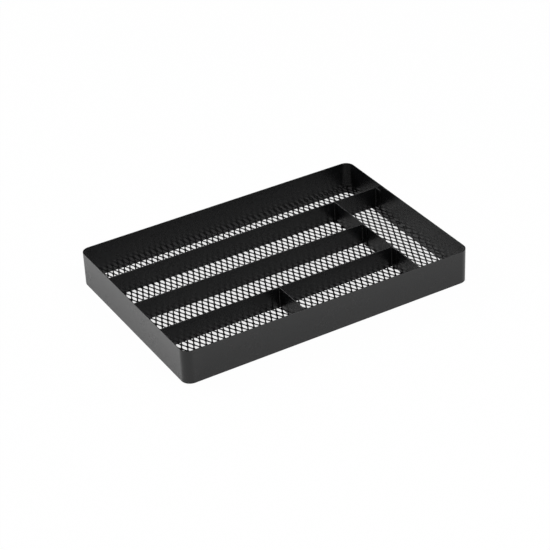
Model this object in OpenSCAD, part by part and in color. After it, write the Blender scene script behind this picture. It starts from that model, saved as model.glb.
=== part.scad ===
// Drawer organizer: a coated sheet steel band round an expanded mesh floor, with folded dividers.
// The origin is on the table under the middle of the tray: X to the right, Y to the back, Z up.

/* [Tray] */
// Outer length, left to right
tray_length = 393; // [310:1:460]
// Outer depth, front to back
tray_depth = 269.5; // [240:0.5:320]
// Height of the band that makes the four walls
wall_height = 44.7; // [40:0.1:70]
// Thickness of the band
wall_thickness = 1; // [0.8:0.1:1.6]
// Outer radius of the four rounded corners
corner_radius = 12; // [6:0.5:20]
// Radius on the two edges of the rim
rim_radius = 0.3; // [0.1:0.05:0.35]

/* [Mesh floor] */
// Height of the underside of the mesh above the table
mesh_height = 7.7; // [3:0.1:10]
// Thickness of the flattened mesh
mesh_thickness = 0.8; // [0.5:0.1:2]
// Pitch of the diamonds along the length of the tray
mesh_short_pitch = 16; // [12:0.5:30]
// Pitch of the diamonds along the depth of the tray
mesh_long_pitch = 32; // [24:0.5:60]
// Width of one strand
mesh_strand = 2.6; // [1:0.1:4]
// Width of the uncut margin that is welded to the band
mesh_margin = 1.2; // [0.8:0.1:4]
// Clearance of the corners of the mesh inside the corners of the band
mesh_corner_clearance = 0.2; // [0.1:0.05:0.5]

/* [Dividers] */
// Height of the dividers above the mesh
divider_height = 28.4; // [15:0.1:30]
// Thickness of the divider sheet
divider_thickness = 0.9; // [0.6:0.1:1.6]
// Inside radius of the folds at the ends of a divider
fold_radius = 1; // [0.5:0.1:3]
// Length of the flat tab past each fold
tab_length = 9; // [5:0.5:15]
// Width of the rear compartment
rear_row = 66; // [50:0.2:72]
// Width of the second compartment from the back
second_row = 66.2; // [50:0.2:72]
// Width of the third compartment from the back
third_row = 64.8; // [50:0.2:72]
// Width of the compartment at the right end
right_bay = 63.8; // [40:0.2:90]
// Length of the front left compartment
front_left_bay = 164.2; // [100:0.1:190]

/* [Hidden] */

coat = "#26282a";
corner_fn = 48;
fold_fn = 24;
rim_fn = 16;

inner_length = tray_length - 2 * wall_thickness;
inner_depth = tray_depth - 2 * wall_thickness;
inner_radius = corner_radius - wall_thickness;

// Inner faces of the four walls
left_x = -inner_length / 2;
right_x = inner_length / 2;
rear_y = inner_depth / 2;
front_y = -inner_depth / 2;

// The dividers stand on the mesh
floor_z = mesh_height + mesh_thickness;

// Middle planes of the dividers, counted from the walls by the widths of the compartments
rear_divider_y = rear_y - rear_row - divider_thickness / 2;
middle_divider_y = rear_divider_y - second_row - divider_thickness;
front_divider_y = middle_divider_y - third_row - divider_thickness;
cross_divider_x = right_x - right_bay - divider_thickness / 2;
short_divider_x = left_x + front_left_bay + divider_thickness / 2;

// Faces of the dividers that another divider ends on
rear_divider_front_y = rear_divider_y - divider_thickness / 2;
front_divider_front_y = front_divider_y - divider_thickness / 2;
cross_divider_left_x = cross_divider_x - divider_thickness / 2;

// Section of the band across its thickness: x from its inner face outwards, y up, with the rim rounded
module band_section() {
    square([wall_thickness, wall_height - rim_radius]);
    translate([rim_radius, 0])
        square([wall_thickness - 2 * rim_radius, wall_height]);
    for (x = [rim_radius, wall_thickness - rim_radius])
        translate([x, wall_height - rim_radius])
            circle(r = rim_radius, $fn = rim_fn);
}

// One straight wall, its inner face on the YZ plane and its middle on the X axis
module band_side(length) {
    translate([0, length / 2, 0])
        rotate([90, 0, 0])
            linear_extrude(length)
                band_section();
}

// One rounded corner of the band, from the X axis round to the Y axis
module band_corner() {
    rotate_extrude(angle = 90, $fn = corner_fn)
        translate([inner_radius, 0])
            band_section();
}

// The band: one strip bent round the four corners and closed by a butt weld
module wall_frame() {
    side_length = inner_length - 2 * inner_radius;
    side_depth = inner_depth - 2 * inner_radius;
    color(coat) {
        for (turn = [0, 180]) {
            rotate([0, 0, turn])
                translate([inner_length / 2, 0, 0])
                    band_side(side_depth);
            rotate([0, 0, turn + 90])
                translate([inner_depth / 2, 0, 0])
                    band_side(side_length);
            rotate([0, 0, turn])
                translate([side_length / 2, side_depth / 2, 0])
                    band_corner();
            rotate([0, 0, turn + 90])
                translate([side_depth / 2, side_length / 2, 0])
                    band_corner();
        }
    }
}

// A rectangle with rounded corners, centred on the origin
module rounded_plate(length, depth, radius) {
    square([length, depth - 2 * radius], center = true);
    square([length - 2 * radius, depth], center = true);
    for (x = [-1, 1], y = [-1, 1])
        translate([x * (length / 2 - radius), y * (depth / 2 - radius)])
            circle(r = radius, $fn = corner_fn);
}

// One opening of the mesh: the diamond of the pitch, drawn in by half a strand on every side
module mesh_opening() {
    side = norm([mesh_short_pitch, mesh_long_pitch]);
    half_short = mesh_short_pitch / 2 - mesh_strand * side / (2 * mesh_long_pitch);
    half_long = mesh_long_pitch / 2 - mesh_strand * side / (2 * mesh_short_pitch);
    polygon([[half_short, 0], [0, half_long], [-half_short, 0], [0, -half_long]]);
}

// Every opening of the sheet, every other row moved on by half a pitch
module mesh_openings() {
    columns = ceil(inner_length / 2 / mesh_short_pitch);
    rows = ceil(inner_depth / mesh_long_pitch);
    for (row = [-rows:rows], column = [-columns:columns]) {
        x = (column + (row % 2 == 0 ? 0 : 0.5)) * mesh_short_pitch;
        y = row * mesh_long_pitch / 2;
        reaches_in = abs(x) - mesh_short_pitch / 2 < inner_length / 2 - mesh_margin
            && abs(y) - mesh_long_pitch / 2 < inner_depth / 2 - mesh_margin;
        if (reaches_in)
            translate([x, y])
                mesh_opening();
    }
}

// The floor: a flattened sheet of expanded metal, cut to the inside of the band
module mesh_floor() {
    color(coat)
        translate([0, 0, mesh_height])
            linear_extrude(mesh_thickness)
                difference() {
                    rounded_plate(inner_length, inner_depth, inner_radius + mesh_corner_clearance);
                    intersection() {
                        rounded_plate(
                            inner_length - 2 * mesh_margin,
                            inner_depth - 2 * mesh_margin,
                            inner_radius - mesh_margin
                        );
                        mesh_openings();
                    }
                }
}

// Plan of a block from x = start to x = end, its back on the X axis and its two back corners rounded
module rounded_back(start, end, depth, radius) {
    translate([start, -depth])
        square([end - start, depth - radius]);
    translate([start + radius, -depth])
        square([end - start - 2 * radius, depth]);
    for (x = [start + radius, end - radius])
        translate([x, -radius])
            circle(r = radius, $fn = fold_fn);
}

// A divider from x = start to x = end, its sheet centred on the X axis, both tabs to the front
module folded_divider(start, end) {
    reach = fold_radius + divider_thickness;
    depth = reach + tab_length;
    translate([0, divider_thickness / 2, floor_z])
        linear_extrude(divider_height)
            difference() {
                rounded_back(start, end, depth, reach);
                translate([0, -divider_thickness])
                    rounded_back(start + divider_thickness, end - divider_thickness, depth, fold_radius);
            }
}

// The long divider in front of the rear compartment, from wall to wall
module rear_divider() {
    color(coat)
        translate([0, rear_divider_y, 0])
            folded_divider(left_x, right_x);
}

// The divider between the second and third compartments, from the left wall to the cross divider
module middle_divider() {
    color(coat)
        translate([0, middle_divider_y, 0])
            folded_divider(left_x, cross_divider_left_x);
}

// The divider behind the two front compartments, from the left wall to the cross divider
module front_divider() {
    color(coat)
        translate([0, front_divider_y, 0])
            folded_divider(left_x, cross_divider_left_x);
}

// The divider beside the right bay, from the rear divider to the front wall, its tabs to the left
module cross_divider() {
    color(coat)
        translate([cross_divider_x, 0, 0])
            rotate([0, 0, -90])
                folded_divider(-rear_divider_front_y, -front_y);
}

// The divider between the two front compartments, from the front divider to the front wall
module short_divider() {
    color(coat)
        translate([short_divider_x, 0, 0])
            rotate([0, 0, -90])
                folded_divider(-front_divider_front_y, -front_y);
}

wall_frame();
mesh_floor();
rear_divider();
middle_divider();
front_divider();
cross_divider();
short_divider();
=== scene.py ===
"""Looks of a drawer organizer: a black coated steel tray with a mesh floor and folded dividers.

Sizes are in millimetres and meshes are written in metres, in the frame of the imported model:
X runs to the right, Y to the back and Z up, from the table under the middle of the tray.
"""

from __future__ import annotations

import logging
import math
from dataclasses import dataclass
from enum import Enum
from typing import Any

import bmesh
import bpy
import numpy as np
from mathutils import Matrix, Vector, geometry


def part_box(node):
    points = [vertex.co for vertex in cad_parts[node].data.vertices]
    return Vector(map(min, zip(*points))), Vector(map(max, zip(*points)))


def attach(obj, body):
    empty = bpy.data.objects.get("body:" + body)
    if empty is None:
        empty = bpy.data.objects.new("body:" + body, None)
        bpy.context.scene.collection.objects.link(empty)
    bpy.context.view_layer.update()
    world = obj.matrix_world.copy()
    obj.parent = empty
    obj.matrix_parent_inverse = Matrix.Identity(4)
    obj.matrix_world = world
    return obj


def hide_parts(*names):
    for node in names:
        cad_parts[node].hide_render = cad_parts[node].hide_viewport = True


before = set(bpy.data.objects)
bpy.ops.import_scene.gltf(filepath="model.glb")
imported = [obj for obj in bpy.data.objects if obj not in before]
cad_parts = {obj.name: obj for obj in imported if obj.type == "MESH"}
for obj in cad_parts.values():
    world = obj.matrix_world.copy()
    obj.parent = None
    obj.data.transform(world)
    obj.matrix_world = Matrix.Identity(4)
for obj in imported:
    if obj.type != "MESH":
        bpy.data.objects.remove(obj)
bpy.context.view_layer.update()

Array = np.ndarray
LOG = logging.getLogger("drawer_organizer")
MM = 0.001
QUARTER = math.pi / 2
WHITE = (1.0, 1.0, 1.0, 1.0)
# Least length that anything is divided by.
NO_LENGTH = 1e-9


class Run(Enum):
    """Which way a divider runs, as the turn of its own frame about Z."""

    ALONG = 0.0
    ACROSS = -QUARTER


@dataclass(frozen=True)
class Section:
    """Closed outline of a strip, counterclockwise: (across, up) points and outward normals."""

    points: Array
    normals: Array


@dataclass(frozen=True)
class Path:
    """Run of a strip in plan.

    Attributes:
        points: Places of the strip's zero line, one row for each station.
        tangents: Unit directions of travel.
        tips: Angle of the rounded end at each station: 0 on the run, a right angle at the very end.
        closed: Whether the last station joins the first.
    """

    points: Array
    tangents: Array
    tips: Array
    closed: bool = False


@dataclass(frozen=True)
class Surface:
    """A finished mesh as arrays: corners in millimetres, unit normals and faces."""

    points: Array
    normals: Array
    faces: list


def arc(start: float, turn: float, steps: int) -> Array:
    """Unit vectors (cos a, sin a) for angles a in equal steps from start to start + turn."""
    angles = start + turn * np.linspace(0.0, 1.0, steps + 1)
    return np.stack([np.cos(angles), np.sin(angles)], axis=-1)


def bends(reach: Array, radius: float, steps: int) -> tuple[Array, Array]:
    """Quarter circles round the four corners of a rectangle, counterclockwise.

    A point is the centre of its bend, which lies at +-reach, plus the radius times (cos a, sin a).

    Args:
        reach: Centre of the bend at the back right, as x and y.
        radius: Radius of the bends.
        steps: Facets in each bend.

    Returns:
        The points, and the unit vector (cos a, sin a) of each, which points outwards.
    """
    outward = np.stack([arc(turn * QUARTER, QUARTER, steps) for turn in range(4)])
    centres = reach * np.array([[1, 1], [-1, 1], [-1, -1], [1, -1]])
    return (centres[:, None] + radius * outward).reshape(-1, 2), outward.reshape(-1, 2)


def rounded_section(
    low: tuple, high: tuple, bottom: float, top: float, steps: int = 5
) -> Section:
    """Section of a coated strip: a rectangle whose corners are quarter circles.

    Each point is the centre of its corner plus the corner's radius times (cos a, sin a), and
    that unit vector is its normal, so the flats between the corners are exactly flat.

    Args:
        low: Lowest (across, up) corner of the rectangle.
        high: Highest corner.
        bottom: Radius of the two lower corners.
        top: Radius of the two upper corners.
        steps: Facets in each quarter circle.

    Returns:
        The section, counterclockwise from its lower outer corner.
    """
    normals = np.stack([arc(turn * QUARTER, QUARTER, steps) for turn in range(-1, 3)])
    radii = np.array([bottom, top, top, bottom])[:, None]
    ends = np.array([[high[0], low[1]], high, [low[0], high[1]], low])
    signs = np.array([[-1, 1], [-1, -1], [1, -1], [1, 1]])
    centres = ends + signs * radii
    points = centres[:, None] + radii[..., None] * normals
    return Section(points.reshape(-1, 2), normals.reshape(-1, 2))


def sweep(section: Section, path: Path, tip_radius: float = 0.0) -> Surface:
    """Carries a section along a path that lies flat, and closes it.

    A point is path + side * across + Z * up, where side is the tangent turned right. Where the
    tip angle t isn't 0 the section is drawn in by tip_radius * (1 - cos t) along its normals,
    which rounds the end of the strip, and the normal leans from the section's towards the end.

    Args:
        section: Outline of the strip.
        path: Run of the strip in plan.
        tip_radius: Radius of the rounding at the two ends of an open run.

    Returns:
        The closed surface: quads along the run, and one flat face on each end of an open run.
    """
    side = np.stack([path.tangents[:, 1], -path.tangents[:, 0]], axis=-1)[:, None]
    inset = (tip_radius * (1 - np.cos(path.tips)))[:, None, None]
    outline = section.points[None] - inset * section.normals[None]
    plan = path.points[:, None] + side * outline[..., :1]
    up = np.broadcast_to(outline[..., 1:], plan[..., :1].shape)
    points = np.concatenate([plan, up], axis=-1)
    lean_side = side * section.normals[None, :, :1]
    lean_up = np.broadcast_to(section.normals[None, :, 1:], lean_side[..., :1].shape)
    flat = np.concatenate([lean_side, lean_up], axis=-1)
    # The rounded ends face back along the run in its first half and forward in its second.
    ends = np.pad(path.tangents, ((0, 0), (0, 1)))[:, None]
    ahead = np.where(np.arange(len(path.tips)) < len(path.tips) / 2, -1.0, 1.0)
    lean = path.tips[:, None, None]
    normals = np.cos(lean) * flat + np.sin(lean) * ends * ahead[:, None, None]
    rows, columns = points.shape[:2]
    grid = np.arange(rows * columns).reshape(rows, columns)
    following = np.roll(grid, -1, axis=0) if path.closed else grid[1:]
    current = grid if path.closed else grid[:-1]
    loops = [current, following, np.roll(following, -1, axis=1), np.roll(current, -1, axis=1)]
    faces = np.stack(loops, axis=-1).reshape(-1, 4).tolist()
    if not path.closed:
        faces += [grid[0].tolist(), grid[-1][::-1].tolist()]
    return Surface(points.reshape(-1, 3), normals.reshape(-1, 3), faces)


class Value:
    """A shader socket that adds Math nodes when it is used in arithmetic."""

    def __init__(self, graph: Graph, socket: bpy.types.NodeSocket) -> None:
        """Keeps the socket and the graph that it belongs to."""
        self.graph = graph
        self.socket = socket

    def _math(self, operation: str, first: Any, second: Any) -> Value:
        """One Math node on two values."""
        return self.graph.node("ShaderNodeMath", {"operation": operation}, {0: first, 1: second})

    def __add__(self, other: Any) -> Value:
        """This plus other."""
        return self._math("ADD", self, other)

    __radd__ = __add__

    def __sub__(self, other: Any) -> Value:
        """This less other."""
        return self._math("SUBTRACT", self, other)

    def __rsub__(self, other: Any) -> Value:
        """Other less this."""
        return self._math("SUBTRACT", other, self)

    def __mul__(self, other: Any) -> Value:
        """This times other."""
        return self._math("MULTIPLY", self, other)

    __rmul__ = __mul__


class Graph:
    """The node tree of one material or of the world."""

    def __init__(self, owner: bpy.types.Material | bpy.types.World) -> None:
        """Empties the owner's node tree."""
        owner.use_nodes = True
        self.tree = owner.node_tree
        self.tree.nodes.clear()

    def node(
        self,
        kind: str,
        settings: dict | None = None,
        inputs: dict | None = None,
        output: Any = 0,
    ) -> Value:
        """Adds one node.

        Args:
            kind: Type of the node.
            settings: Properties of the node, set before its sockets.
            inputs: Socket names or numbers with a number, a colour or a Value to link.
            output: Name or number of the socket that is wanted.

        Returns:
            The wanted output as a Value.
        """
        made = self.tree.nodes.new(kind)
        for name, setting in (settings or {}).items():
            setattr(made, name, setting)
        for name, given in (inputs or {}).items():
            if isinstance(given, Value):
                self.tree.links.new(given.socket, made.inputs[name])
            else:
                made.inputs[name].default_value = given
        return Value(self, made.outputs[output] if len(made.outputs) else None)

    def ray(self, kind: str) -> Value:
        """1 on a ray of one kind, such as Camera, and 0 on any other."""
        return self.node("ShaderNodeLightPath", output=f"Is {kind} Ray")


@dataclass(frozen=True)
class PowderCoat:
    """Satin black powder coat on steel.

    Attributes:
        dark: Linear colour of most of the coat.
        pale: Linear colour of its slightly paler patches.
        roughness: Roughness of the coat.
        roughness_spread: How far the roughness wanders over the sheet.
        peel_size: Width of one dimple of the skin, in millimetres.
        peel_depth: Depth of the dimples, in millimetres.
        patch_size: Width of the paler patches, in millimetres.
        peel_noise: Detail and roughness of the noise that makes the dimples.
        patch_noise: The same for the patches.
        ior: Index of refraction of the coat.
    """

    dark: tuple = (0.0020, 0.0022, 0.0026, 1.0)
    pale: tuple = (0.0034, 0.0037, 0.0041, 1.0)
    roughness: float = 0.27
    roughness_spread: float = 0.02
    peel_size: float = 0.9
    peel_depth: float = 0.005
    patch_size: float = 38.0
    peel_noise: tuple = (2.0, 0.5)
    patch_noise: tuple = (3.0, 0.55)
    ior: float = 1.5

    def noise(self, place: Value, size: float, detail: tuple) -> Value:
        """Noise on the coat.

        Args:
            place: Object coordinates.
            size: Width of one patch of the noise, in millimetres.
            detail: Detail and roughness of the noise.

        Returns:
            The noise, from 0 to 1.
        """
        scale = 1 / (size * MM)
        inputs = {"Vector": place, "Scale": scale, "Detail": detail[0], "Roughness": detail[1]}
        return place.graph.node("ShaderNodeTexNoise", inputs=inputs)

    def material(self) -> bpy.types.Material:
        """The coat on Object coordinates: two kinds of noise blend its colour and dent its skin.

        Returns:
            The material.
        """
        made = bpy.data.materials.new("satin_black_coat")
        graph = Graph(made)
        place = graph.node("ShaderNodeTexCoord", output="Object")
        patches = self.noise(place, self.patch_size, self.patch_noise)
        peel = self.noise(place, self.peel_size, self.peel_noise)
        # The colours of a Mix node are its inputs 6 and 7 and its output 2.
        blend = {0: patches, 6: self.dark, 7: self.pale}
        colour = graph.node("ShaderNodeMix", {"data_type": "RGBA"}, blend, output=2)
        roughness = (patches - 0.5) * (2 * self.roughness_spread) + self.roughness
        skin = graph.node(
            "ShaderNodeBump",
            inputs={"Strength": 1.0, "Distance": self.peel_depth * MM, "Height": peel},
        )
        surface = graph.node(
            "ShaderNodeBsdfPrincipled",
            inputs={"Base Color": colour, "Roughness": roughness, "IOR": self.ior, "Normal": skin},
        )
        graph.node("ShaderNodeOutputMaterial", inputs={"Surface": surface})
        return made


@dataclass
class Piece:
    """One steel piece of the tray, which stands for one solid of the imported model.

    Attributes:
        name: Name of the piece.
        node: Name of the solid that it stands for.
    """

    name: str
    node: str

    def box(self) -> tuple[Array, Array]:
        """Lowest and highest corner of the solid, in millimetres."""
        low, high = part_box(self.node)
        return np.array(low) / MM, np.array(high) / MM

    def surface(self) -> Surface:
        """The shape of the piece."""
        raise NotImplementedError

    def build(self, finish: bpy.types.Material) -> bpy.types.Object:
        """Makes the piece, dresses it and puts it in the place of its solid.

        Args:
            finish: Material of the piece.

        Returns:
            The object, at the origin, with its place in its mesh.
        """
        shape = self.surface()
        mesh = bpy.data.meshes.new(self.name)
        mesh.from_pydata((shape.points * MM).tolist(), [], shape.faces)
        mesh.polygons.foreach_set("use_smooth", np.ones(len(mesh.polygons), bool))
        mesh.normals_split_custom_set_from_vertices(shape.normals.tolist())
        mesh.materials.append(finish)
        made = bpy.data.objects.new(self.name, mesh)
        bpy.context.scene.collection.objects.link(made)
        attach(made, "root")
        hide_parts(self.node)
        counts = len(mesh.vertices), len(mesh.polygons)
        LOG.info("%s: %d corners, %d faces, for %s", self.name, *counts, self.node)
        return made


@dataclass
class WallBand(Piece):
    """The band that makes the four walls: one strip bent round four rounded corners.

    Attributes:
        thickness: Thickness of the strip.
        corner_radius: Outer radius of the four bends.
        rim_radius: Radius of the coated edges of the rim.
        foot_radius: Radius of the coated edges at the table.
        bend_steps: Facets in each bend.
    """

    name: str = "wall_band"
    node: str = "wall_frame"
    thickness: float = 1.0
    corner_radius: float = 12.0
    rim_radius: float = 0.25
    foot_radius: float = 0.25
    bend_steps: int = 24

    def path(self, high: Array) -> Path:
        """Run of the inner face, counterclockwise.

        Args:
            high: Highest corner of the band's box.

        Returns:
            The closed run, its stations on the four bends.
        """
        radius = self.corner_radius - self.thickness
        points, outward = bends(high[:2] - self.corner_radius, radius, self.bend_steps)
        tangents = np.stack([-outward[:, 1], outward[:, 0]], axis=-1)
        return Path(points, tangents, np.zeros(len(points)), closed=True)

    def surface(self) -> Surface:
        """The strip's rounded section carried round the band.

        Returns:
            The band, closed.
        """
        low, high = self.box()
        inner, outer = (0.0, low[2]), (self.thickness, high[2])
        section = rounded_section(inner, outer, self.foot_radius, self.rim_radius)
        return sweep(section, self.path(high))


@dataclass
class FoldedDivider(Piece):
    """A divider: a strip that stands on the mesh, each end folded into a tab that is welded on.

    Attributes:
        run: Which way the divider runs.
        thickness: Thickness of the strip.
        fold_radius: Inside radius of the folds.
        edge_radius: Radius of the coated edges along the top and at the tabs' ends.
        fold_steps: Facets in each fold.
        tip_steps: Steps in the rounding of each free end.
    """

    run: Run = Run.ALONG
    thickness: float = 0.9
    fold_radius: float = 1.0
    edge_radius: float = 0.38
    fold_steps: int = 10
    tip_steps: int = 4

    def half_path(self, length: float, depth: float) -> Path:
        """Run from the free end of the left tab to the middle of the divider.

        The free end is rounded: its stations stand edge_radius * (1 - sin t) before the end, for
        tip angles t from a right angle to 0. Then come the tab, the quarter circle of the fold
        and the sheet, on the middle of its thickness.

        Args:
            length: Length of the divider, between the outer faces of its tabs.
            depth: Depth of the divider, from the back of its sheet to the ends of its tabs.

        Returns:
            The run, in a frame with the back of the sheet on the X axis and the divider's
            left end at x = 0.
        """
        middle = self.fold_radius + self.thickness / 2
        reach = self.fold_radius + self.thickness
        tips = np.linspace(QUARTER, 0.0, self.tip_steps + 1)
        set_back = self.edge_radius * (1 - np.sin(tips))
        tip = np.stack([np.full(len(tips), self.thickness / 2), set_back - depth], axis=-1)
        outward = arc(math.pi, -QUARTER, self.fold_steps)
        fold = np.array([reach, -reach]) + middle * outward
        centre = np.array([[length / 2, -self.thickness / 2]])
        points = np.concatenate([tip, fold, centre])
        turned = np.stack([outward[:, 1], -outward[:, 0]], axis=-1)
        tangents = np.concatenate([np.tile([0.0, 1.0], (len(tips), 1)), turned, [[1.0, 0.0]]])
        return Path(points, tangents, np.concatenate([tips, np.zeros(len(fold) + 1)]))

    def surface(self) -> Surface:
        """The strip's section carried along its run, its right half the mirror of its left.

        Returns:
            The divider, closed.
        """
        low, high = self.box()
        turn = self.run.value
        size = high - low
        length, depth = (size[0], size[1]) if self.run is Run.ALONG else (size[1], size[0])
        half = self.half_path(length, depth)
        mirrored = half.points[-2::-1] * [-1, 1] + [length, 0]
        points = np.concatenate([half.points, mirrored])
        tangents = np.concatenate([half.tangents, half.tangents[-2::-1] * [1, -1]])
        tips = np.concatenate([half.tips, half.tips[-2::-1]])
        cosine, sine = math.cos(turn), math.sin(turn)
        rotation = np.array([[cosine, sine], [-sine, cosine]])
        corner = np.array([low[0], high[1]]) if self.run is Run.ALONG else high[:2]
        path = Path(points @ rotation + corner, tangents @ rotation, tips)
        near, far = (-self.thickness / 2, low[2]), (self.thickness / 2, high[2])
        section = rounded_section(near, far, self.edge_radius / 2, self.edge_radius)
        return sweep(section, path, self.edge_radius / 2)


@dataclass
class ExpandedSheet(Piece):
    """The floor: one flattened sheet of expanded metal whose strands end on the band.

    Attributes:
        short_pitch: Width of a diamond, along the tray's length.
        long_pitch: Length of a diamond, along the tray's depth.
        strand: Width of a strand.
        bond: Length of the straight side of an opening beside a bond.
        slit: Width of the blunt end of an opening.
        corner_radius: Radius of the sheet's corners.
        weld: How far the ends of the strands reach into the band.
        edge: Width of the rounded edge of a strand.
        turn: How far the pattern is turned in the tray, in degrees.
        pull_reach: Place, from the middle, at which the coefficients of the pull count in full.
        pull_powers: Powers of x and y in the terms of the pull.
        pull_across: Shift of the pattern along the length, a coefficient for each term.
        pull_along: Shift of the pattern along the depth.
        least_opening: Smallest opening, in square millimetres, that the coat leaves free.
        least: Distance that counts as a rounding error, in millimetres.
        merge: Distance at which the triangulation joins two corners, in millimetres.
        least_spread: Least value of 1 + n . m, which keeps the mitre of a sharp corner short.
        leans: Lean of the normals at the four levels of a strand's edge, in degrees.
        bend_steps: Facets in each corner of the sheet.
    """

    name: str = "expanded_sheet"
    node: str = "mesh_floor"
    short_pitch: float = 8.0
    long_pitch: float = 16.0
    strand: float = 1.7
    bond: float = 2.8
    slit: float = 0.5
    corner_radius: float = 11.2
    weld: float = 0.3
    edge: float = 0.12
    turn: float = 0.7
    pull_reach: tuple = (200.0, 130.0)
    pull_powers: tuple = (
        (0, 0), (1, 0), (0, 1), (2, 0), (1, 1), (0, 2), (3, 0), (2, 1), (1, 2), (0, 3),
        (4, 0), (3, 1), (2, 2), (1, 3), (0, 4),
    )
    pull_across: tuple = (
        -1.53, 1.35, -1.83, 2.36, -0.92, 1.75, -3.49, 1.67, -0.98, 0.42,
        -0.82, -2.18, -2.72, 0.52, 0.53,
    )
    pull_along: tuple = (
        0.23, -1.23, -1.35, 0.94, -0.26, 2.14, -1.7, -0.6, -2.51, 1.64,
        1.45, -0.94, -2.8, 0.41, 1.13,
    )
    least_opening: float = 1.2
    least: float = 1e-3
    merge: float = 1e-4
    least_spread: float = 0.45
    leans: tuple = (68.0, 22.0, -22.0, -68.0)
    bend_steps: int = 8

    def opening(self) -> Array:
        """Outline of one opening round the origin, counterclockwise.

        The sides lie half a strand inside the diamond of the pitch. The blunt ends cut the two
        sharp corners at x = +-slit / 2, and the bonds cut the other two at y = +-bond / 2.

        Returns:
            The eight corners.
        """
        side = math.hypot(self.short_pitch, self.long_pitch)
        half_short = self.short_pitch / 2 - self.strand * side / (2 * self.long_pitch)
        half_long = self.long_pitch / 2 - self.strand * side / (2 * self.short_pitch)
        wide = half_short * (1 - self.bond / 2 / half_long)
        tall = half_long * (1 - self.slit / 2 / half_short)
        quarter = np.array([[wide, self.bond / 2], [self.slit / 2, tall]])
        return np.concatenate([quarter, quarter[::-1] * [-1, 1], -quarter, quarter[::-1] * [1, -1]])

    def pulled(self, points: Array) -> Array:
        """Points of the even pattern moved to where the unevenly stretched sheet has them.

        The shift is a sum of coefficient * x^i * y^j, with x and y as shares of their reach.

        Args:
            points: Points of the even pattern.

        Returns:
            The moved points.
        """
        share = points / np.array(self.pull_reach)
        powers = np.array(self.pull_powers)
        terms = np.prod(share[..., None, :] ** powers, axis=-1)
        return points + terms @ np.array([self.pull_across, self.pull_along]).T

    def centres(self, half: Array) -> Array:
        """Centres of the openings: whole pitches, and the same moved on by half a pitch.

        Args:
            half: Half the size of the sheet.

        Returns:
            The centres, past the sheet's edges by a pitch.
        """
        columns = math.ceil(half[0] / self.short_pitch) + 1
        rows = math.ceil(half[1] / self.long_pitch) + 1
        across, along = np.meshgrid(
            np.arange(-columns, columns + 1), np.arange(-rows, rows + 1)
        )
        pitch = np.array([self.short_pitch, self.long_pitch])
        whole = np.stack([across.ravel(), along.ravel()], axis=-1) * pitch
        return np.concatenate([whole, whole + pitch / 2])

    def trimmed(self, outlines: Array, plan: Array) -> tuple[Array, Array]:
        """Openings cut off by upright planes through the sides of the sheet's outline.

        Each opening is one flat face of a loose mesh, and those left too small are dropped.

        Args:
            outlines: Outlines of the openings, each with as many corners as the others.
            plan: Outline of the sheet, counterclockwise.

        Returns:
            Corners of the openings, one after another, and the number of corners of each.
        """
        flat = np.pad(outlines, ((0, 0), (0, 0), (0, 1))).reshape(-1, 3)
        faces = np.arange(len(flat)).reshape(len(outlines), -1)
        loose = bpy.data.meshes.new("openings")
        loose.from_pydata(flat.tolist(), [], faces.tolist())
        work = bmesh.new()
        work.from_mesh(loose)
        sides = np.roll(plan, -1, axis=0) - plan
        for corner, side in zip(plan.tolist(), sides.tolist()):
            bmesh.ops.bisect_plane(
                work,
                geom=work.verts[:] + work.edges[:] + work.faces[:],
                plane_co=(*corner, 0.0),
                plane_no=(side[1], -side[0], 0.0),
                clear_outer=True,
            )
        work.to_mesh(loose)
        work.free()
        places = np.empty((len(loose.vertices), 3), np.float32)
        corners = np.empty(len(loose.loops), np.int32)
        counts = np.empty(len(loose.polygons), np.int32)
        areas = np.empty(len(loose.polygons), np.float32)
        loose.vertices.foreach_get("co", places.ravel())
        loose.loops.foreach_get("vertex_index", corners)
        loose.polygons.foreach_get("loop_total", counts)
        loose.polygons.foreach_get("area", areas)
        bpy.data.meshes.remove(loose)
        kept = areas > self.least_opening
        points = places[corners[np.repeat(kept, counts)], :2].astype(float)
        return points, counts[kept]

    def openings(self, plan: Array) -> tuple[Array, Array]:
        """Every opening of the turned and pulled pattern, cut off at the sheet's outline.

        A corner within a rounding error of one of the outline's own corners is moved onto it.

        Args:
            plan: Outline of the sheet, counterclockwise.

        Returns:
            Corners of the openings, one after another, and the number of corners of each.
        """
        even = self.centres(plan.max(axis=0))[:, None] + self.opening()
        cosine, sine = math.cos(math.radians(self.turn)), math.sin(math.radians(self.turn))
        turned = even @ np.array([[cosine, sine], [-sine, cosine]])
        points, counts = self.trimmed(self.pulled(turned), plan)
        gaps = np.linalg.norm(points[:, None] - plan, axis=-1)
        near = gaps.min(axis=1) < self.least
        points[near] = plan[gaps.argmin(axis=1)[near]]
        return points, counts

    @staticmethod
    def on_one_opening(triangles: Array, sources: list, owner: Array) -> Array:
        """Which triangles have all three corners on one opening.

        A corner of the triangulation can come from three given corners at most, and its owners
        are theirs. The owners of the three corners are compared each with each.

        Args:
            triangles: Corners of the triangles.
            sources: The given corners that each corner of the triangulation comes from.
            owner: Number of the opening that a given corner belongs to, or -1 for none.

        Returns:
            True for each triangle whose corners share an opening.
        """
        owners = np.full((len(sources), 3), -1)
        pairs = [(made, given) for made, group in enumerate(sources) for given in group[:3]]
        made, given = np.array(pairs).T
        owners[made, np.arange(len(made)) - np.searchsorted(made, made)] = owner[given]
        first = owners[triangles[:, 0]][:, :, None, None]
        second = owners[triangles[:, 1]][:, None, :, None]
        third = owners[triangles[:, 2]][:, None, None, :]
        shared = (first == second) & (first == third) & (first >= 0)
        return shared.any(axis=(1, 2, 3))

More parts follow.
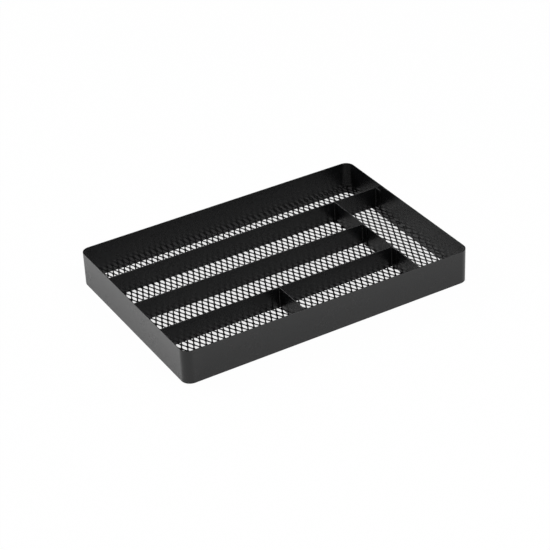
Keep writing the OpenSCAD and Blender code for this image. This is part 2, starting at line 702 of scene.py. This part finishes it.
    def strands(self) -> tuple[Array, Array]:
        """The sheet in plan: the outline's inside less the openings, as triangles.

        A triangle lies in an opening exactly when its three corners are corners of that one
        opening, because every opening is convex.

        Returns:
            Corners, and counterclockwise triangles between them.
        """
        reach = self.box()[1][:2] - self.corner_radius
        plan, _ = bends(reach, self.corner_radius + self.weld, self.bend_steps)
        holes, counts = self.openings(plan)
        first, sizes = np.repeat(np.cumsum(counts) - counts, counts), np.repeat(counts, counts)
        index = np.arange(len(holes))
        following = first + (index - first + 1) % sizes
        rim = np.arange(len(plan)) + len(holes)
        starts = np.concatenate([index, rim])
        ends = np.concatenate([following, np.roll(rim, -1)])
        sides = np.stack([starts, ends], axis=-1).tolist()
        corners = [Vector(place) for place in np.concatenate([holes, plan]).tolist()]
        places, _, triangles, sources, _, _ = geometry.delaunay_2d_cdt(
            corners, sides, [], 0, self.merge
        )
        points = np.array([place[:] for place in places])
        triangles = np.array(triangles)
        owner = np.full(len(corners), -1)
        owner[index] = np.repeat(np.arange(len(counts)), counts)
        dropped = self.on_one_opening(triangles, sources, owner)
        dropped |= self.slivers(points[triangles], plan)
        used, renumbered = np.unique(triangles[~dropped], return_inverse=True)
        return points[used], renumbered.reshape(-1, 3)

    def slivers(self, corners: Array, plan: Array) -> Array:
        """Which triangles are rounding errors along the sheet's outline.

        The place of a corner inside a side of the outline is its distance from that side, and a
        triangle's height over its longest side is twice its area over that side.

        Args:
            corners: Corners of the triangles, three rows for each.
            plan: Outline of the sheet, counterclockwise.

        Returns:
            True for each triangle that lies on the outline and has no height.
        """
        sides = np.roll(plan, -1, axis=0) - plan
        inward = np.stack([-sides[:, 1], sides[:, 0]], axis=-1)
        inward /= np.linalg.norm(sides, axis=1, keepdims=True)
        depth = (corners @ inward.T - (plan * inward).sum(axis=1)).min(axis=-1)
        legs = np.roll(corners, -1, axis=1) - corners
        twice = np.abs(legs[:, 0, 0] * legs[:, 1, 1] - legs[:, 0, 1] * legs[:, 1, 0])
        height = twice / np.linalg.norm(legs, axis=-1).max(axis=1)
        return (depth < self.least).all(axis=1) & (height < self.least)

    def surface(self) -> Surface:
        """The sheet: top and bottom of the strands, and three bands of faces down each edge.

        At an edge corner with the outward unit normals n and m of its two sides, the mitre is
        (n + m) / (1 + n . m), so a corner moved back by it moves both sides by one unit. Each
        edge is a flat wall between two sloping bands of the edge's width, with normals that
        lean over evenly, so that every strand looks rounded.

        Returns:
            The sheet, closed.
        """
        low, high = self.box()
        places, top = self.strands()
        total = len(places)
        sides = np.concatenate([top[:, [0, 1]], top[:, [1, 2]], top[:, [2, 0]]])
        codes = sides[:, 0] * total + sides[:, 1]
        open_sides = sides[~np.isin(codes, sides[:, 1] * total + sides[:, 0])]
        along = places[open_sides[:, 1]] - places[open_sides[:, 0]]
        along /= np.linalg.norm(along, axis=1, keepdims=True)
        outward = np.stack([along[:, 1], -along[:, 0]], axis=-1)
        leaving, arriving = np.zeros((total, 2)), np.zeros((total, 2))
        leaving[open_sides[:, 0]] = outward
        arriving[open_sides[:, 1]] = outward
        spread = 1 + (leaving * arriving).sum(axis=1, keepdims=True)
        mitre = (leaving + arriving) / np.maximum(spread, self.least_spread)
        lengths = np.linalg.norm(mitre, axis=1, keepdims=True)
        into_air = mitre / np.maximum(lengths, NO_LENGTH)
        insets = np.array([self.edge, 0.0, 0.0, self.edge])[:, None, None]
        heights = np.array([high[2], high[2] - self.edge, low[2] + self.edge, low[2]])
        leans = np.radians(self.leans)[:, None, None]
        up = np.ones((1, total, 1))
        points = np.concatenate([places - insets * mitre, heights[:, None, None] * up], axis=-1)
        normals = np.concatenate([np.cos(leans) * into_air, np.sin(leans) * up], axis=-1)
        first, second = open_sides[:, 0], open_sides[:, 1]
        wall = np.stack([second, first, first + total, second + total], axis=-1)
        walls = np.concatenate([wall + total * step for step in range(3)])
        bottom = top[:, ::-1] + 3 * total
        faces = top.tolist() + bottom.tolist() + walls.tolist()
        return Surface(points.reshape(-1, 3), normals.reshape(-1, 3), faces)


@dataclass(frozen=True)
class Softbox:
    """A large square soft lamp.

    Attributes:
        name: Name of the lamp.
        place: Middle of the lamp, in metres.
        power: Power, in watts.
        side: Side of the square, in metres.
        aim: Point that the lamp faces, in metres.
    """

    name: str
    place: tuple
    power: float
    side: float = 1.6
    aim: tuple = (0.0, 0.0, 0.0)

    def build(self) -> bpy.types.Object:
        """Makes the lamp, its face turned to its aim, unseen by the camera.

        Returns:
            The lamp's object.
        """
        lamp = bpy.data.lights.new(self.name, "AREA")
        lamp.shape = "SQUARE"
        lamp.size, lamp.energy = self.side, self.power
        made = bpy.data.objects.new(self.name, lamp)
        made.location = self.place
        away = Vector(self.place) - Vector(self.aim)
        made.rotation_euler = away.to_track_quat("Z", "Y").to_euler()
        made.visible_camera = False
        bpy.context.scene.collection.objects.link(made)
        return made


@dataclass(frozen=True)
class Studio:
    """The pale floor, the soft light and the camera.

    Attributes:
        azimuth: Turn of the camera about Z from the front, in degrees.
        elevation: Height of the camera above the horizon, in degrees.
        roll: Turn of the camera about its own line of sight, in degrees.
        distance: Distance from the camera to its target, in millimetres.
        target: Point that the camera looks at, in millimetres.
        lens: Focal length, in millimetres.
        sensor: Width of the sensor, in millimetres.
        sight: Nearest and farthest distance that the camera sees, in metres.
        floor_half: Half the side of the floor, in metres.
        floor_colour: Linear grey of the floor.
        floor_glow: Share of plain white in the floor as the camera sees it.
        under_glow: The same share under the tray, where the shade shows.
        under_half: Half the size of the shaded place under the tray, in metres.
        floor_mirror_glow: Share of plain white in the floor as glossy surfaces see it.
        under_mirror_glow: The same share under the tray.
        floor_roughness: Roughness of the floor, which is satin.
        floor_ior: Index of refraction of the floor.
        room_light: Strength of the room as diffuse surfaces see it.
        room_mirror: Strength of the room as glossy surfaces see it.
        lamps: The lamps.
    """

    azimuth: float = -29.42
    elevation: float = 32.26
    roll: float = -2.72
    distance: float = 2193.3
    target: tuple = (-8.25, -16.8, 19.8)
    lens: float = 118.0
    sensor: float = 36.0
    sight: tuple = (0.05, 50.0)
    floor_half: float = 8.0
    floor_colour: float = 0.92
    floor_glow: float = 0.98
    under_glow: float = 0.78
    under_half: tuple = (0.195, 0.133)
    floor_mirror_glow: float = 0.2
    under_mirror_glow: float = 0.37
    floor_roughness: float = 0.35
    floor_ior: float = 1.8
    room_light: float = 0.3
    room_mirror: float = 0.15
    lamps: tuple = (
        Softbox("left_softbox", (-1.7, 2.0, 1.9), 58.0),
        Softbox("right_softbox", (1.1, -1.7, 2.4), 60.0),
    )

    def glow(self, graph: Graph, around: float, under: float) -> Value:
        """Share of plain white in the floor, one under the tray and one around it.

        Args:
            graph: Node tree of the floor's material.
            around: The share around the tray.
            under: The share where x and y are both inside the tray.

        Returns:
            The share, by place.
        """
        place = graph.node("ShaderNodeTexCoord", output="Object")
        reach = graph.node("ShaderNodeVectorMath", {"operation": "ABSOLUTE"}, {0: place})
        lengths = [
            graph.node("ShaderNodeSeparateXYZ", inputs={0: reach}, output=axis) for axis in "XY"
        ]
        within = [
            graph.node("ShaderNodeMath", {"operation": "LESS_THAN"}, {0: length, 1: half})
            for length, half in zip(lengths, self.under_half)
        ]
        return around + within[0] * within[1] * (under - around)

    def floor(self) -> bpy.types.Object:
        """The floor: satin where light falls on it, part plain white where it is looked at.

        Returns:
            The floor's object.
        """
        made = bpy.data.materials.new("pale_floor")
        graph = Graph(made)
        looked_at = self.glow(graph, self.floor_glow, self.under_glow)
        reflected = self.glow(graph, self.floor_mirror_glow, self.under_mirror_glow)
        seen = graph.ray("Camera") + graph.ray("Transmission")
        share = seen * looked_at + graph.ray("Glossy") * reflected
        grey = (self.floor_colour,) * 3 + (1.0,)
        satin = graph.node(
            "ShaderNodeBsdfPrincipled",
            inputs={"Base Color": grey, "Roughness": self.floor_roughness, "IOR": self.floor_ior},
        )
        white = graph.node("ShaderNodeEmission", inputs={"Color": WHITE, "Strength": 1.0})
        mixed = graph.node("ShaderNodeMixShader", inputs={0: share, 1: satin, 2: white})
        graph.node("ShaderNodeOutputMaterial", inputs={"Surface": mixed})
        half = self.floor_half
        corners = [(-half, -half, 0.0), (half, -half, 0.0), (half, half, 0.0), (-half, half, 0.0)]
        mesh = bpy.data.meshes.new("floor")
        mesh.from_pydata(corners, [], [(0, 1, 2, 3)])
        mesh.materials.append(made)
        plane = bpy.data.objects.new("floor", mesh)
        bpy.context.scene.collection.objects.link(plane)
        return plane

    def world(self) -> None:
        """The room: plain white where it is looked at, dimmer as light and in reflections."""
        world = bpy.data.worlds.new("room")
        bpy.context.scene.world = world
        graph = Graph(world)
        white, lit, dim = (
            graph.node("ShaderNodeBackground", inputs={"Color": WHITE, "Strength": strength})
            for strength in (1.0, self.room_light, self.room_mirror)
        )
        seen, mirrored = graph.ray("Camera") + graph.ray("Transmission"), graph.ray("Glossy")
        indirect = graph.node("ShaderNodeMixShader", inputs={0: mirrored, 1: lit, 2: dim})
        mixed = graph.node("ShaderNodeMixShader", inputs={0: seen, 1: indirect, 2: white})
        graph.node("ShaderNodeOutputWorld", inputs={"Surface": mixed})

    def camera(self) -> bpy.types.Object:
        """The camera at the photograph's viewing angle.

        Returns:
            The camera's object, as the scene's camera.
        """
        turns = (self.azimuth, self.elevation, self.roll)
        azimuth, elevation, roll = (math.radians(turn) for turn in turns)
        level = Vector((math.cos(azimuth), math.sin(azimuth), 0.0))
        ahead = Vector((-math.sin(azimuth), math.cos(azimuth), 0.0))
        back = -math.cos(elevation) * ahead + math.sin(elevation) * Vector((0.0, 0.0, 1.0))
        upright = back.cross(level)
        right = math.cos(roll) * level + math.sin(roll) * upright
        up = math.cos(roll) * upright - math.sin(roll) * level
        lens = bpy.data.cameras.new("camera")
        lens.lens, lens.sensor_width = self.lens, self.sensor
        lens.clip_start, lens.clip_end = self.sight
        made = bpy.data.objects.new("camera", lens)
        place = (Vector(self.target) + back * self.distance) * MM
        turned = Matrix((right, up, back)).transposed().to_4x4()
        made.matrix_world = Matrix.Translation(place) @ turned
        bpy.context.scene.collection.objects.link(made)
        bpy.context.scene.camera = made
        return made

    def build(self) -> None:
        """Sets the stage and the view."""
        self.floor()
        self.world()
        self.camera()
        for lamp in self.lamps:
            lamp.build()
        bpy.context.scene.view_settings.view_transform = "Standard"
        LOG.info("stage: %d lamps", len(self.lamps))


def main() -> None:
    """Builds the tray piece by piece, then the stage."""
    logging.basicConfig(level=logging.INFO, format="%(name)s: %(message)s")
    finish = PowderCoat().material()
    pieces = [
        WallBand(),
        ExpandedSheet(),
        FoldedDivider("rear_folded_divider", "rear_divider"),
        FoldedDivider("middle_folded_divider", "middle_divider"),
        FoldedDivider("front_folded_divider", "front_divider"),
        FoldedDivider("cross_folded_divider", "cross_divider", Run.ACROSS),
        FoldedDivider("short_folded_divider", "short_divider", Run.ACROSS),
    ]
    for piece in pieces:
        piece.build(finish)
    Studio().build()


if __name__ == "__main__":
    main()
